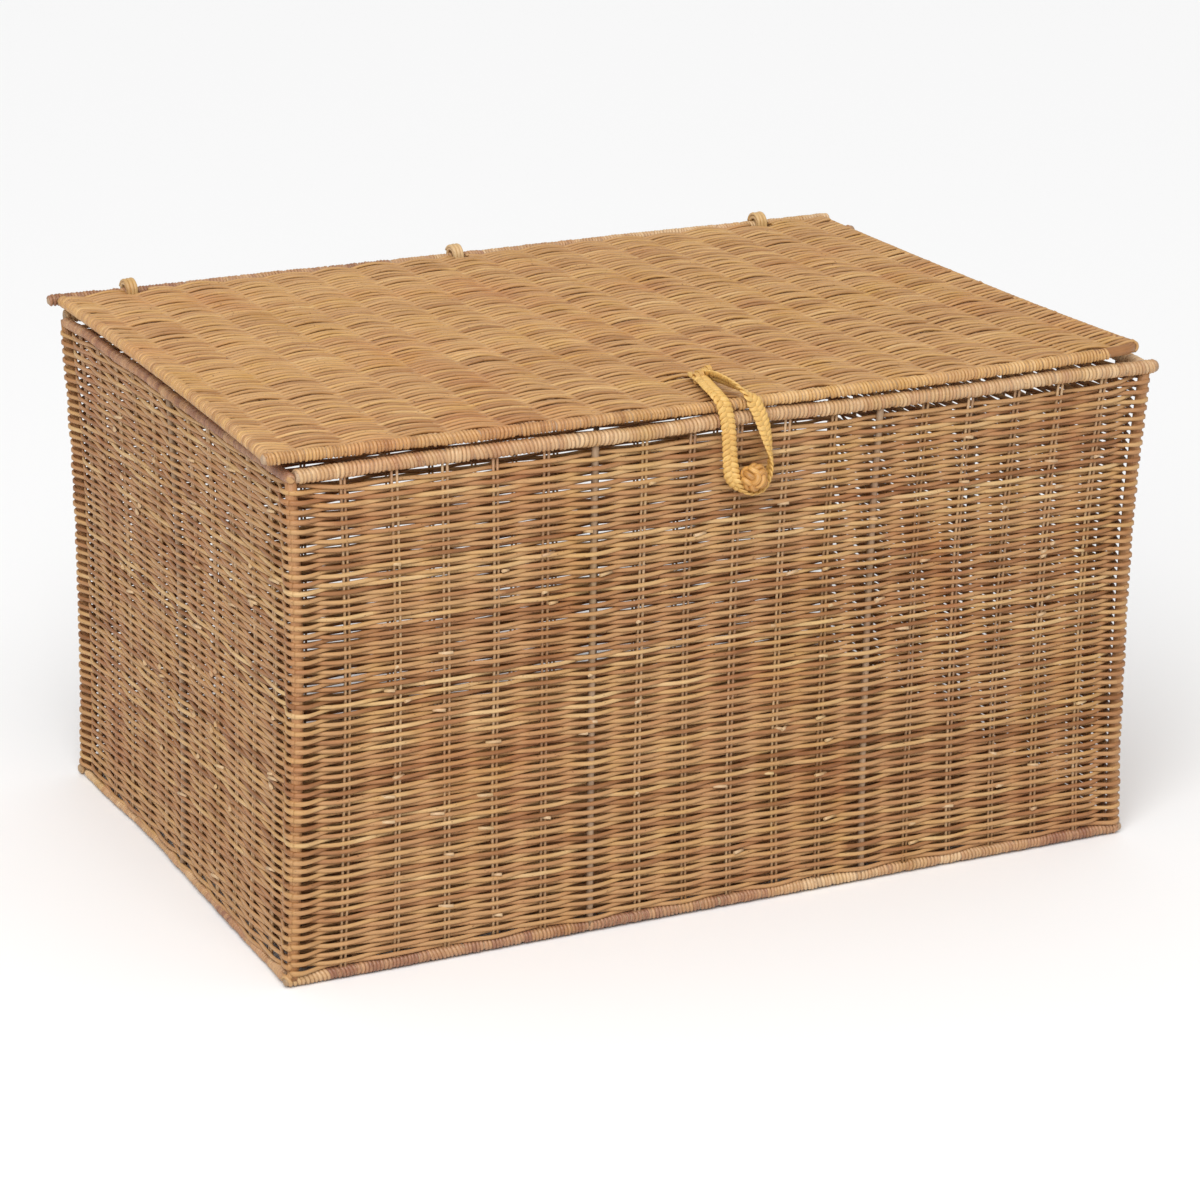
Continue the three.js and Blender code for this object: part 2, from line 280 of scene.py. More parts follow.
def smooth_path(points, steps):
    """A curve through the points, steps samples from each to the next."""
    points = np.asarray(points, float)
    ends = np.vstack([2 * points[0] - points[1], points, 2 * points[-1] - points[-2]])
    t = (np.arange(steps) / steps)[:, None]
    parts = []
    for a, b, c, d in zip(ends, ends[1:], ends[2:], ends[3:]):
        parts.append(
            b + t * (c - a) / 2 + t**2 * (a - 2.5 * b + 2 * c - d / 2)
            + t**3 * (1.5 * (b - c) + (d - a) / 2)
        )
    return np.vstack([*parts, points[-1:]])


# ---- Materials ----


def colour(red, green, blue):
    """A colour in 0-255 screen values, as Blender's linear values."""
    values = np.array([red, green, blue]) / 255
    return (*np.where(values < 0.04045, values / 12.92, ((values + 0.055) / 1.055) ** 2.4), 1.0)


class Nodes:
    """Short names for the nodes that the materials share."""

    def __init__(self, name):
        self.material = bpy.data.materials.new(name)
        self.material.use_nodes = True
        self.tree = self.material.node_tree
        self.shader = self.tree.nodes["Principled BSDF"]

    def node(self, kind, inputs, **settings):
        made = self.tree.nodes.new(kind)
        for key, value in settings.items():
            setattr(made, key, value)
        for key, value in inputs.items():
            self.set(made.inputs[key], value)
        return made

    def set(self, socket, value):
        if isinstance(value, bpy.types.NodeSocket):
            self.tree.links.new(value, socket)
        else:
            socket.default_value = value

    def maths(self, operation, a, b):
        return self.node("ShaderNodeMath", {0: a, 1: b}, operation=operation).outputs[0]

    def noise(self, vector, scale, detail=2.0, roughness=0.5):
        return self.node(
            "ShaderNodeTexNoise",
            {"Vector": vector, "Scale": scale, "Detail": detail, "Roughness": roughness},
        ).outputs["Fac"]

    def span(self, value, low, high, to_low, to_high):
        names = ("From Min", "From Max", "To Min", "To Max")
        limits = dict(zip(names, (low, high, to_low, to_high)))
        return self.node("ShaderNodeMapRange", {"Value": value, **limits}).outputs[0]

    def stretch(self, vector, x, y, z):
        return self.node(
            "ShaderNodeVectorMath", {0: vector, 1: (x, y, z)}, operation="MULTIPLY"
        ).outputs[0]

    def ramp(self, value, stops):
        made = self.node("ShaderNodeValToRGB", {"Fac": value})
        elements = made.color_ramp.elements
        while len(elements) < len(stops):
            elements.new(0.5)
        for element, (place, *shade) in zip(elements, stops):
            element.position = place
            element.color = colour(*shade)
        return made.outputs["Color"]

    def join(self, x, y, z):
        return self.node("ShaderNodeCombineXYZ", {0: x, 1: y, 2: z}).outputs[0]

    def tint(self, amount, shade, by):
        """The shade multiplied by another, as far as amount says."""
        made = self.node("ShaderNodeMix", {}, data_type="RGBA", blend_type="MULTIPLY")
        for socket, value in zip((0, 6, 7), (amount, shade, by)):
            self.set(made.inputs[socket], value)
        return made.outputs[2]


GILT = colour(246, 240, 206)
FLECK = colour(130, 96, 74)


def cane_material(
    name, stops, patch, roughness=0.46, gloss=0.6, gilt=0.8, grain=1.0, slow=0.022, swing=0.9
):
    """Peeled cane: each strand has its own tone, drifting along it, with fine grain lines and dark flecks.

    stops are places and colours from the darkest tone to the lightest, and patch tints its stained patches.
    gilt and grain are how strong the yellow patches and the grain lines are. The tone drifts by swing, and
    slow is how quickly it does so along a strand."""
    m = Nodes(name)
    along = m.node("ShaderNodeAttribute", {}, attribute_name="grain").outputs["Vector"]
    tone = m.node("ShaderNodeAttribute", {}, attribute_name="tone").outputs["Fac"]
    place = m.node("ShaderNodeTexCoord", {}).outputs["Object"]
    length = m.node("ShaderNodeSeparateXYZ", {0: along}).outputs["Z"]
    own = m.maths("MULTIPLY", tone, 91.0)  # far apart in the noise, so strands of unlike tone drift apart
    drift = m.noise(m.join(own, 0.0, m.maths("MULTIPLY", length, slow)), 1.0, 3.0)
    drift = m.maths("MULTIPLY", m.maths("SUBTRACT", drift, 0.5), swing)
    shade = m.ramp(m.maths("ADD", tone, drift), stops)
    lines = m.noise(m.stretch(along, 1.7, 1.7, 0.07), 1.0, 3.0, 0.65)
    value = m.span(lines, 0.32, 0.68, 1.0 - 0.2 * grain, 1.0 + 0.1 * grain)
    shade = m.tint(1.0, shade, m.join(value, value, value))
    stained = m.span(m.noise(place, 9.0, 4.0, 0.6), 0.52, 0.7, 0.0, 0.7)
    shade = m.tint(stained, shade, patch)
    gilded = m.span(m.noise(m.stretch(place, 24, 24, 9), 1.0, 3.0, 0.6), 0.5, 0.72, 0.0, gilt)
    shade = m.tint(gilded, shade, GILT)
    flecks = m.span(m.noise(m.stretch(along, 0.8, 0.8, 0.35), 1.0, 1.0), 0.69, 0.76, 0.0, 0.65)
    shade = m.tint(flecks, shade, FLECK)
    bump = m.node("ShaderNodeBump", {"Strength": 0.5, "Distance": 0.0003, "Height": lines})
    m.set(m.shader.inputs["Base Color"], shade)
    m.set(m.shader.inputs["Roughness"], m.span(lines, 0.3, 0.7, roughness + 0.08, roughness - 0.06))
    m.set(m.shader.inputs["Normal"], bump.outputs[0])
    m.set(m.shader.inputs["Specular IOR Level"], gloss)
    return m.material


REDDISH = colour(228, 198, 186)
PALE_RED = colour(240, 214, 200)
wall_cane = cane_material(
    "wall_cane",
    [
        (0.0, 138, 92, 55),
        (0.25, 168, 120, 79),
        (0.45, 182, 137, 93),
        (0.62, 186, 144, 98),
        (0.8, 191, 149, 98),
        (1.0, 208, 173, 124),
    ],
    colour(232, 206, 194),
    gloss=0.3,
    gilt=0.45,
    swing=0.75,
)
lid_cane = cane_material(
    "lid_cane",
    [
        (0.0, 162, 114, 66),
        (0.3, 187, 141, 89),
        (0.55, 196, 151, 97),
        (0.8, 200, 155, 95),
        (1.0, 212, 171, 116),
    ],
    PALE_RED,
    swing=0.6,
)
binding = cane_material(
    "binding",
    [
        (0.0, 146, 100, 74),
        (0.35, 180, 136, 98),
        (0.65, 192, 152, 108),
        (1.0, 212, 178, 136),
    ],
    PALE_RED,
    slow=0.03,
    swing=0.5,
)
stake_wood = cane_material(
    "stake_wood",
    [(0.0, 140, 104, 72), (0.5, 180, 142, 102), (1.0, 206, 174, 134)],
    REDDISH,
)
frame_wood = cane_material(
    "frame_wood",
    [(0.0, 112, 88, 68), (0.5, 168, 138, 108), (1.0, 192, 164, 132)],
    REDDISH,
    roughness=0.6,
)
hinge_cane = cane_material(
    "hinge_cane",
    [(0.0, 182, 140, 88), (0.5, 206, 168, 114), (1.0, 222, 190, 146)],
    REDDISH,
    swing=0.3,
)
plait_fibre = cane_material(
    "plait_fibre",
    [(0.0, 196, 148, 78), (0.5, 220, 176, 98), (1.0, 232, 196, 126)],
    colour(236, 214, 190),
    roughness=0.48,
    swing=0.5,
)
knot_fibre = cane_material(
    "knot_fibre",
    [(0.0, 160, 104, 50), (0.5, 200, 144, 72), (1.0, 220, 170, 98)],
    colour(230, 200, 176),
    grain=1.8,
    swing=0.5,
)

# ---- Woven walls ----

SIDE_ENDS = np.cumsum([STAKES_LONG, STAKES_SHORT, STAKES_LONG, STAKES_SHORT])
SIDE_STARTS = SIDE_ENDS - [STAKES_LONG, STAKES_SHORT, STAKES_LONG, STAKES_SHORT]
SIDE_FROM = np.array([(-1, -1), (1, -1), (1, 1), (-1, 1)])
SIDE_ALONG = np.array([(1, 0), (0, 1), (-1, 0), (0, -1)])
SIDE_OUT = np.array([(0, -1), (1, 0), (0, 1), (-1, 0)])


def lean(height):
    """How far the wall stands in from the rim at a height: nearly upright below, leaning out above."""
    height = np.asarray(height, float)
    t = np.clip((height - SPLAY_START) / (RIM_HEIGHT - SPLAY_START), 0, None)
    return WALL_SPLAY * (t**2 - 1) + BASE_FLARE * np.clip(1 - height / FLARE_TOP, 0, 1) ** 2


# shares of the foot's push, at these numbers of stakes from the corner: minus in front, plus on the left
FOOT_SHARES = ([-3, 0, 2, 3.6, 5.3, 7.5], [0, 0.9, 1, 0.56, 0.23, 0])


def foot(stake, height):
    """How far the wall is pushed out to the left near its front left corner."""
    from_corner = np.where(stake > STAKES / 2, STAKES - stake, -stake)
    share = np.interp(from_corner, *FOOT_SHARES)
    return FOOT_PUSH * share * np.clip(1 - np.asarray(height) / FOOT_TOP, 0, 1)


def wall_point(stake, height, out=0.0):
    """Points of the wall's middle surface, moved out by some distance, and the outward directions there."""
    stake = np.mod(stake, STAKES)
    half = np.stack(np.broadcast_arrays(RIM_X + lean(height), RIM_Y + lean(height)), -1)
    half = np.broadcast_to(half, (len(stake), 2))
    side = np.searchsorted(SIDE_ENDS, stake, side="right")
    share = (stake - SIDE_STARTS[side]) / (SIDE_ENDS - SIDE_STARTS)[side]
    length = 2 * np.abs((half * SIDE_ALONG[side]).sum(1))
    from_start, to_end = share * length, (1 - share) * length
    before = np.clip(1 - from_start / CORNER_RADIUS, 0, 1)
    after = np.clip(1 - to_end / CORNER_RADIUS, 0, 1)
    angle = math.radians(45) * (after - before)
    straight = SIDE_ALONG[side]
    outward = SIDE_OUT[side]
    normal = np.cos(angle)[:, None] * outward + np.sin(angle)[:, None] * straight
    reach = np.clip(from_start, CORNER_RADIUS, length - CORNER_RADIUS)
    centre = half * SIDE_FROM[side] + reach[:, None] * straight - CORNER_RADIUS * outward
    spot = centre + (CORNER_RADIUS + np.asarray(out))[..., None] * normal
    height = np.broadcast_to(height, len(stake))
    spot[:, 0] -= foot(stake, height)
    return np.column_stack([spot, height]), np.column_stack([normal, np.zeros(len(stake))])


amplitude = np.full(STAKES + 1, CANE_THICK / 2 + STAKE_RADIUS - SQUEEZE)
amplitude[list(UPRIGHTS)] = CANE_THICK / 2 + UPRIGHT_RADIUS - UPRIGHT_BITE
amplitude[CORNERS[1] + 1:CORNERS[2]] *= RIGHT_BULGE
amplitude[CORNERS[3] + 1:STAKES] *= LEFT_BULGE
amplitude[[*CORNERS, STAKES]] = CANE_THICK / 2 + POST_RADIUS + POST_OUT - POST_BITE

wave_cycles = (2, 3, 5, 8, 13)
wave_shift = draw.uniform(0, 2 * math.pi, len(wave_cycles))
wave_climb = draw.uniform(-0.03, 0.03, len(wave_cycles))


def wave(stake, height):
    """Slow rise and fall of the rows, the same for neighbouring rows and none at the top and bottom."""
    total = 0.0
    for cycles, shift, climb in zip(wave_cycles, wave_shift, wave_climb):
        total = total + np.sin(2 * math.pi * cycles * stake / STAKES + shift + climb * height)
    fade = np.sin(math.pi * (height - WALL_LOW) / (WALL_HIGH - WALL_LOW))
    return WAVE_HEIGHT * total * fade


def settle(stake, from_corner, height):
    """How far a row is moved up or down: the top rows up to the rim at the corners and along the left side,
    and the lowest rows down on the left side."""
    left = np.where(stake > CORNERS[-1], np.clip((stake - CORNERS[-1]) / 1.5, 0, 1), 0)
    near = np.exp(-((from_corner / 0.9) ** 2))
    high = np.clip((height - WALL_HIGH + 60) / 55, 0, 1)
    low = np.clip(1 - (height - WALL_LOW) / 50, 0, 1)
    return np.maximum(left, near) * CORNER_RISE * high**1.5 - left * LEFT_SETTLE * low**1.5


def ring_tones(joins):
    """Where one weaver ends and the next begins round a row, and each weaver's tone."""
    edges = np.sort(draw.uniform(0, STAKES, joins))
    tones = draw.beta(2.2, 2.2, joins)
    return edges, tones


row_heights = np.linspace(WALL_LOW + EDGE_GAP, WALL_HIGH - EDGE_GAP - TOP_GAP, ROWS)
row_radius = draw.uniform(0.93, 1.05, ROWS)
row_knots = draw.normal(0, 0.22, (ROWS, STAKES + 1))
row_push = draw.normal(0, 0.3, (ROWS, STAKES + 1))
row_knots[:, -1] = row_knots[:, 0]
row_push[:, -1] = row_push[:, 0]
row_tones = [ring_tones(draw.integers(2, 5)) for _ in range(ROWS)]
# how far the outer rows sag at each stake, which opens the weave there
gape = draw.normal(0.12, 0.3, STAKES + 1)
gape[-1] = gape[0]
row_starts = draw.uniform(0, 9000, ROWS)
CORNER_STEPS = np.array([0.03, 0.07, 0.11, 0.15, 0.2, 0.26, 0.34])


def row_samples(first, last):
    """Places along a row from one corner to the next, closer together round the corners."""
    samples = np.linspace(first, last, (last - first) * 6 + 1)
    return np.unique(np.concatenate([samples, first + CORNER_STEPS, last - CORNER_STEPS]).round(4))


def add_wall_rows(canes, first, last):
    """All the rows of one wall, from its first stake to its last."""
    places = row_samples(first, last)
    padded = np.concatenate([[first - 0.03], places, [last + 0.03]])
    wrapped = np.mod(padded, STAKES)
    knots = np.arange(STAKES + 1)
    for row in range(ROWS):
        outer = np.cos(math.pi * padded) * (-1) ** row
        swing = np.interp(wrapped, knots, amplitude) * outer + np.interp(wrapped, knots, row_push[row])
        rise = wave(padded, row_heights[row]) + np.interp(wrapped, knots, row_knots[row])
        rise = rise - np.interp(wrapped, knots, gape) * np.clip(outer, 0, 1)
        from_corner = np.min(np.abs(padded[:, None] - (*CORNERS, STAKES)), axis=1)
        rise = rise + settle(wrapped, from_corner, row_heights[row])
        path, out = wall_point(padded, row_heights[row], swing)
        path[:, 2] += rise
        edges, tones = row_tones[row]
        tone = tones[np.searchsorted(edges, wrapped) % len(edges)]
        start = row_starts[row] + first * GRAIN_PITCH
        in_band = np.clip((row_heights[row] - SLACK_LOW) / (SLACK_HIGH - SLACK_LOW), 0, 1)
        slack = SLACK * math.sin(math.pi * in_band)
        size = row_radius[row] * (1 - slack + 0.32 * np.exp(-((from_corner / 0.14) ** 2)))
        if last - first == STAKES_SHORT:
            size = size * SIDE_SIZE
        section = ellipse(CANE_HIGH, CANE_THICK, 6)
        canes.add(path, section, out, tone, size, start=start, trim=1)


def add_stakes(canes, first, last):
    """Pairs of thin rods, from the base rod up to the rim rod."""
    heights = np.linspace(4, RIM_HEIGHT, 14)
    for stake in range(first, last):
        if stake in CORNERS or stake in UPRIGHTS:
            continue
        drift = np.interp(heights, [0, 130, 260, 390], draw.normal(0, 0.7, 4))
        for side in (-1, 1):
            sway = np.interp(heights, [0, 95, 190, 285, 390], draw.normal(0, 0.25, 5))
            spread = (side * STAKE_SPREAD + drift + sway) / STAKE_PITCH
            path, out = wall_point(stake + spread, heights)
            tone, size = draw.uniform(0.2, 0.9), draw.uniform(0.92, 1.05)
            canes.add(path, circle(STAKE_RADIUS, 6), out, tone, size)


def add_cut_ends(canes, first, last, count):
    """Short ends of finished weavers, tucked beside the stakes and just showing."""
    for _ in range(count):
        stake = draw.integers(first + 1, last) + draw.choice([-1, 1]) * draw.uniform(0.05, 0.12)
        height = draw.uniform(WALL_LOW + 12, WALL_HIGH - 8)
        reach = draw.uniform(0.12, 0.3) * draw.choice([-1, 1])
        places = stake + reach * np.array([0, 0.5, 1])
        path, out = wall_point(places, height, np.array([3.6, 2.2, 0.4]))
        path[:, 2] += np.array([0.6, 0.2, 0.0]) * draw.uniform(-1, 1)
        canes.add(path, circle(1.3, 6), out, draw.uniform(0.8, 1.1))


def make_wall(name, first, last):
    """One wall, from its first stake to its last: its rows, its stakes, and the cut ends beside them."""
    weave = Canes(wall_cane)
    add_wall_rows(weave, first, last)
    weave.make(f"weave_{name}", "trunk", "woven_cane", f"wall_{name}")
    stakes = Canes(stake_wood)
    add_stakes(stakes, first, last)
    add_cut_ends(stakes, first, last, (last - first) * 4)
    stakes.make(f"stakes_{name}", "trunk", "frame_rod")


for wall_name, first_stake, last_stake in zip(("front", "right", "back", "left"), CORNERS, SIDE_ENDS):
    make_wall(wall_name, first_stake, last_stake)


def make_post(name, stake, radius, material, reach=0.0):
    """A rod that stands in the wall at a stake's place, moved out by reach."""
    heights = np.linspace(5, RIM_HEIGHT - 2, 20)
    path, out = wall_point(np.full(20, float(stake)), heights, np.full(20, reach))
    post = Canes(material)
    post.add(path, circle(radius, 12), out, 0.35)
    post.make(name + "_wood", "trunk", "frame_rod", name)


CORNER_NAMES = dict(zip(CORNERS, ("front_left", "front_right", "back_right", "back_left")))
for stake, place in CORNER_NAMES.items():
    make_post("corner_post_" + place, stake, POST_RADIUS, wall_cane, POST_OUT)
UPRIGHT_NAMES = ("front_left", "front_right", "right", "back_right", "back_left", "left")
for stake, place in zip(UPRIGHTS, UPRIGHT_NAMES):
    make_post("upright_" + place, stake, UPRIGHT_RADIUS, frame_wood)

# ---- Bound rods ----

BINDING_THICKNESS = 1.5
BINDING_PITCH = 2.95  # from one turn to the next, and the strip's width
LID_FRONT_PITCH = 2.7
LID_BACK_PITCH = 2.6
TURN_POINTS = 13


def rod_line(node, bends, bend_up, bend_out, slim):
    """A function for a bent rod's middle line at places along it, and the directions across it and up."""
    low, high = box(node)
    axis = int(np.argmax(high - low))
    centre = (low + high) / 2
    direction, across, above = np.eye(3)[axis], np.eye(3)[1 - axis], np.eye(3)[2]

    def line(places):
        spots = centre + (np.asarray(places) - centre[axis])[:, None] * direction
        spots = spots + (rounded(places, bends, bend_up) - slim(places))[:, None] * above
        return spots + rounded(places, bends, bend_out)[:, None] * across

    return line, across, above


def add_binding(canes, line, across, above, radius, slim, first, last, pitch, tones):
    """Strips wound round a rod from first to last, each from 5 to 19 turns long and with its own tone."""
    place = first + 1.2
    stop = last - 1.2
    phase = draw.uniform(0, 2 * math.pi)
    tone = draw.uniform(0.3, 0.9)
    tones = list(tones)
    while place < stop - 2 * pitch:
        turns = min(draw.integers(5, 20), int((stop - place) / pitch))
        tone = np.clip(tone + draw.normal(0, 0.22), 0.2, 1.0)
        if tones:
            tone = tones.pop(0)
        tight = pitch * draw.uniform(0.97, 1.1)
        turn = np.linspace(0, turns, turns * TURN_POINTS + 1)
        slip = wander(turn, 0, 0.3)
        tilt = draw.uniform(-1.3, 1.3) * np.sin(2 * math.pi * turn + draw.uniform(0, 6.3))
        angle = phase + 2 * math.pi * turn
        lift = np.interp(turn, [0, 0.3, turns - 0.3, turns], [-0.9, 0, 0, -0.9])
        bulge = np.interp(turn, np.arange(turns + 1), draw.normal(0, 0.22, turns + 1).clip(-0.5, 0.5))
        shades = tone + wander(turn, 0, 0.16)
        out = np.cos(angle)[:, None] * across + np.sin(angle)[:, None] * above
        places = place + tight * turn + slip + tilt
        reach = radius - slim(places) - BINDING_THICKNESS / 2 + lift + bulge
        section = strip(pitch * draw.uniform(0.92, 1.04), BINDING_THICKNESS)
        canes.add(line(places) + reach[:, None] * out, section, out, shades)
        place += turns * tight
        phase += draw.uniform(-0.4, 0.4)


def bind_rod(
    node, body, skin=binding, core=frame_wood, pitch=BINDING_PITCH, bare=(0.0, 0.0),
    sway=0.7, bow=0.0, sag=None, shift=None, slim=np.zeros_like, tones=(),
):
    """A round rod with cane wound round it, in stretches of different tones.

    bare is how much shorter than the CAD rod it is at each end, and sway how far it bends from straight. A
    rod with a bow only bends up, most at its middle. sag, shift and slim are functions of the place along
    it: how much higher it is, how far it is moved sideways, and how much thinner it is. A thinner rod keeps
    its underside. tones are for its first stretches."""
    low, high = box(node)
    axis = int(np.argmax(high - low))
    radius = (high - low)[2] / 2
    first, last = low[axis] + bare[0], high[axis] - bare[1]
    bends = np.linspace(first, last, 9)
    bend_up = draw.normal(0, sway, 9)
    bend_out = draw.normal(0, sway * 0.6, 9)
    if bow:
        bend_up = bow * np.sin(math.pi * np.linspace(0, 1, 9)) + 0.4 * np.abs(bend_up)
    if sag:
        bend_up = bend_up + sag(bends)
    if shift:
        bend_out = bend_out + shift(bends)
    line, across, above = rod_line(node, bends, bend_up, bend_out, slim)
    canes = Canes(skin, core)
    tips = np.array([0, 0.4, 1.2])
    ends = np.concatenate([first + tips, np.linspace(first + 5, last - 5, 40), last - tips[::-1]])
    inset = np.minimum(ends - first, last - ends)
    core_size = (radius - slim(ends) - 0.6 * BINDING_THICKNESS) * np.sqrt(np.clip(inset / 3 + 0.6, 0, 1))
    canes.add(line(ends), circle(1.0, 10), above, 0.6, core_size, material=1)
    add_binding(canes, line, across, above, radius, slim, first, last, pitch, tones)
    canes.make(node + "_bound", body, "binding", node)


def lid_dip(x):
    """How much higher than straight the lid's front edge is, along it: it dips in the middle."""
    return np.interp(x, [-354, -150, 0, 120, 250, 330], [0.4, -0.7, -1.9, -2.6, -1.9, 1.0])


def slim_rim(y):
    """The left rim rod is thinner than the others."""
    return np.full(len(y), 1.4)


def slim_base(y):
    """The left base rod is thin, but for its front end."""
    return 2.0 * np.clip((y + 212) / 25, 0, 1) - 0.6


BASE_PITCH = 39.8  # from one stake to the next along the left base rod


def shift_base(y):
    """The left base rod bends out with the foot of the wall."""
    return -foot(STAKES - (y + RIM_Y) / BASE_PITCH, 0)


# At the front left corner the left rim rod runs on to the front, and the front rim rod begins beside it.
bind_rod("rim_rod_front", "trunk", bare=(15.0, 4.0), tones=(0.72, 0.78, 0.58, 0.8, 0.62) * 5)
# The left rim rod's binding takes the darkest tones: painted shade, for the lid's shadow falling on it.
bind_rod(
    "rim_rod_left", "trunk", core=wall_cane, bare=(-10.0, 0.0), slim=slim_rim, tones=(0.1, 0.2, 0.3) * 6
)
bind_rod("rim_rod_back", "trunk", bare=(12.0, 0.0))
bind_rod("rim_rod_right", "trunk")
bind_rod("base_rod_front", "trunk", bare=(-1.0, 5.5), bow=0.3, tones=(0.75, 0.05))
bind_rod("base_rod_back", "trunk", bare=(5.0, 5.0), bow=2.4)
bind_rod("base_rod_left", "trunk", bow=1.0, shift=shift_base, slim=slim_base, tones=(0.6, 0.4))
bind_rod("base_rod_right", "trunk", bow=2.0)
bind_rod(
    "lid_rod_front", "lid", skin=lid_cane, pitch=LID_FRONT_PITCH, bare=(-8.0, 22.0), sway=0.4, sag=lid_dip,
    tones=(0.3, 0.45, 0.35, 0.5, 0.3),
)
bind_rod("lid_rod_back", "lid", pitch=LID_BACK_PITCH, sway=0.3, tones=(0.1, 0.15, 0.2, 0.1, 0.3))

# ---- Lid ----

LID_STAKES = 18
LID_ROWS = 142
LID_PITCH = (LID_RIGHT[0] - LID_LEFT[0]) / LID_STAKES
LID_MIDDLE = LID_LEFT[2] + 1.1  # height of the panel's middle
LID_CANE = 1.5  # radius of the canes, roughly
LID_SWING = LID_CANE + 0.75  # how far the rows swing over and under the stakes
EDGE_CORE = 2.3  # radius of the side rods inside the rows' ends
EDGE_REACH = EDGE_CORE + LID_CANE * 0.8
ROD_GAP = 4.5 + LID_CANE  # from the middle of the front and back rods to the nearest row
SLOT_HALF = 6.0
SLOT_START = LID_BACK[1] - 13.5  # the hinge loops pass through slots from here to the back rod
ELBOW_RADIUS = 14.5
HINGES = ("left", "middle", "right")
hinge_places = [middle("hinge_loop_" + place)[0] for place in HINGES]
lid_shift = draw.uniform(0, 2 * math.pi, 4)
lid_climb = draw.uniform(-0.05, 0.05, 4)


def lid_side(side, y):
    """Where the middle of a side rod is. Both run further out towards the front."""
    forward = np.clip((LID_BACK[1] - np.asarray(y, float)) / (LID_BACK[1] - LID_FRONT[1]), 0, 1)
    if side < 0:
        return LID_LEFT[0] - 12.5 * forward**2.2
    return LID_RIGHT[0] + 7.0 * forward**2 + 7.0 * forward**5


def lid_swell(x, y):
    """How far the panel rises and dips between its rods."""
    across = (x - LID_LEFT[0]) / (LID_RIGHT[0] - LID_LEFT[0])
    along = (y - LID_FRONT[1]) / (LID_BACK[1] - LID_FRONT[1])
    fade = np.sin(math.pi * np.clip(across, 0, 1)) * np.sin(math.pi * np.clip(along, 0, 1))
    ripple = 0.9 * np.sin(5.1 * across + 3.0 * along + 1.0) + 0.7 * np.sin(9.0 * across - 6.5 * along)
    return fade * ripple + lid_dip(x) * np.clip(1 - along, 0, 1.02) ** 1.5


def lid_row_path(index, y):
    """The middle line of one row, from one side rod over and under the stakes and round the other."""
    sign = (-1) ** index
    places = np.linspace(0, LID_STAKES, LID_STAKES * 6 + 1)
    x = lid_side(-1, y) + places * (lid_side(1, y) - lid_side(-1, y)) / LID_STAKES
    fade = np.sin(math.pi * np.clip(index / (LID_ROWS - 1), 0, 1))
    ripple = fade * sum(
        0.55 * np.sin(2 * math.pi * cycles * places / LID_STAKES + shift + climb * y)
        for cycles, shift, climb in zip((1, 2, 3.3, 5.1), lid_shift, lid_climb)
    )
    rise = sign * LID_SWING * np.cos(math.pi * places) * wander(places, 1, 0.16)
    rise = rise + wander(places, 0, 0.22)
    ends = np.clip(np.minimum(places, LID_STAKES - places), 0, 1)
    over = np.where(np.cos(math.pi * places) * sign > 0, 1, -1)
    to_rod = LID_LEFT[2] - LID_MIDDLE + over * (EDGE_REACH - LID_SWING)
    rise = np.where(ends < 0.5, rise + to_rod * np.cos(math.pi * ends) ** 2, rise)
    line_y = y + (ripple + wander(places, 0, 0.22)) * np.clip(ends * 1.5, 0, 1)
    path = np.column_stack([x, line_y, LID_MIDDLE + rise + lid_swell(x, y)])
    return np.vstack([lid_end(path[0], -1, over[0]), path, lid_end(path[-1], 1, over[-1])[::-1]])


def add_lid_rows(canes, rows):
    """The lid's rows with these numbers, counted from the front."""
    section = ellipse(3.35, 2.6, 6)
    first_y = LID_FRONT[1] + ROD_GAP
    last_y = LID_BACK[1] - ROD_GAP
    for index in rows:
        y = first_y + (last_y - first_y) * index / (LID_ROWS - 1)
        path = lid_row_path(index, y)
        edges = np.sort(draw.uniform(lid_side(-1, y), lid_side(1, y), 2))
        tones = draw.beta(2.4, 2.4, 3)
        tone = tones[np.searchsorted(edges, path[:, 0])]
        size = draw.uniform(0.95, 1.05)
        up = lid_up(path)
        for part in slot_parts(path, y):
            canes.add(path[part], section, up[part], tone[part], size)


def lid_end(spot, side, over):
    """Points that carry a row's end round a side rod, outermost first."""
    turn = np.radians(np.linspace(215, 22, 9))
    shift = np.linspace(1.7, 0.1, 9)
    x = lid_side(side, spot[1]) + side * EDGE_REACH * np.sin(turn)
    z = LID_LEFT[2] + over * EDGE_REACH * np.cos(turn) + lid_swell(x, spot[1])
    return np.column_stack([x, spot[1] - shift, z])


def lid_up(path):
    """Up on the panel, and straight out of the rod where a row goes round it."""
    up = np.tile([0.0, 0.0, 1.0], (len(path), 1))
    for side in (-1, 1):
        rod = lid_side(side, path[:, 1])
        beyond = (path[:, 0] - rod) * side > 0.01
        up[beyond] = unit(np.column_stack([path[:, 0] - rod, 0 * rod, path[:, 2] - LID_LEFT[2]])[beyond])
    return up


def slot_parts(path, y):
    """The parts of a row between the hinge slots."""
    if y < SLOT_START:
        return [slice(0, len(path))]
    clear = np.min(np.abs(path[:, :1] - np.array(hinge_places)), axis=1) > SLOT_HALF
    edges = np.flatnonzero(np.diff(clear.astype(int)))
    bounds = [0, *(edges + 1), len(path)]
    return [slice(a, b) for a, b in zip(bounds, bounds[1:]) if clear[a] and b - a > 2]


